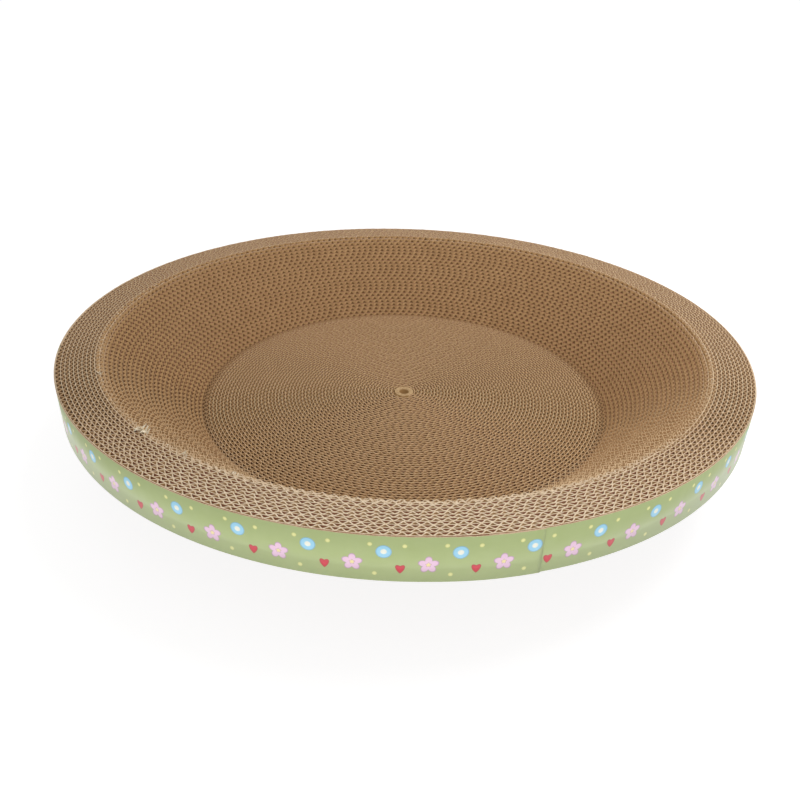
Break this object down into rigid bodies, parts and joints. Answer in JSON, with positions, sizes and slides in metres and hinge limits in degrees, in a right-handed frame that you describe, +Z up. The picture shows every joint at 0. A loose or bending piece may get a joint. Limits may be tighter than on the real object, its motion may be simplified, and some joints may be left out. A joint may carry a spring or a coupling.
{
  "type": "cat scratcher bed",
  "caption": "Shallow round cat scratcher bed: corrugated board wound on edge into a coil, dished to a flat floor, sloping wall and flat rim, in a printed paper band.",
  "frame": {"origin": "under the middle of the floor, on the surface that the bed stands on", "axes": "+Z up along the coil's axis; -Y is the front, where the band's lap lies a little to the right"},
  "size_m": [0.52, 0.52, 0.092],
  "materials": {
    "corrugated_board": "raw cut kraft",
    "core_paper": "raw kraft",
    "printed_paper": "satin printed"
  },
  "bodies": {
    "root": {"floor_strip_01": "corrugated_board", "floor_strip_02": "corrugated_board", "floor_strip_03": "corrugated_board", "floor_strip_04": "corrugated_board", "floor_strip_05": "corrugated_board", "floor_strip_06": "corrugated_board", "floor_strip_07": "corrugated_board", "floor_strip_08": "corrugated_board", "floor_strip_09": "corrugated_board", "wall_strip_01": "corrugated_board", "wall_strip_02": "corrugated_board", "wall_strip_03": "corrugated_board", "wall_strip_04": "corrugated_board", "wall_strip_05": "corrugated_board", "wall_strip_06": "corrugated_board", "wall_strip_07": "corrugated_board", "wall_strip_08": "corrugated_board", "wall_strip_09": "corrugated_board", "rim_strip_01": "corrugated_board", "rim_strip_02": "corrugated_board", "rim_strip_03": "corrugated_board", "rim_strip_04": "corrugated_board", "rim_strip_05": "corrugated_board", "core_roll": "core_paper", "wrap_band": "printed_paper"}
  },
  "joints": []
}
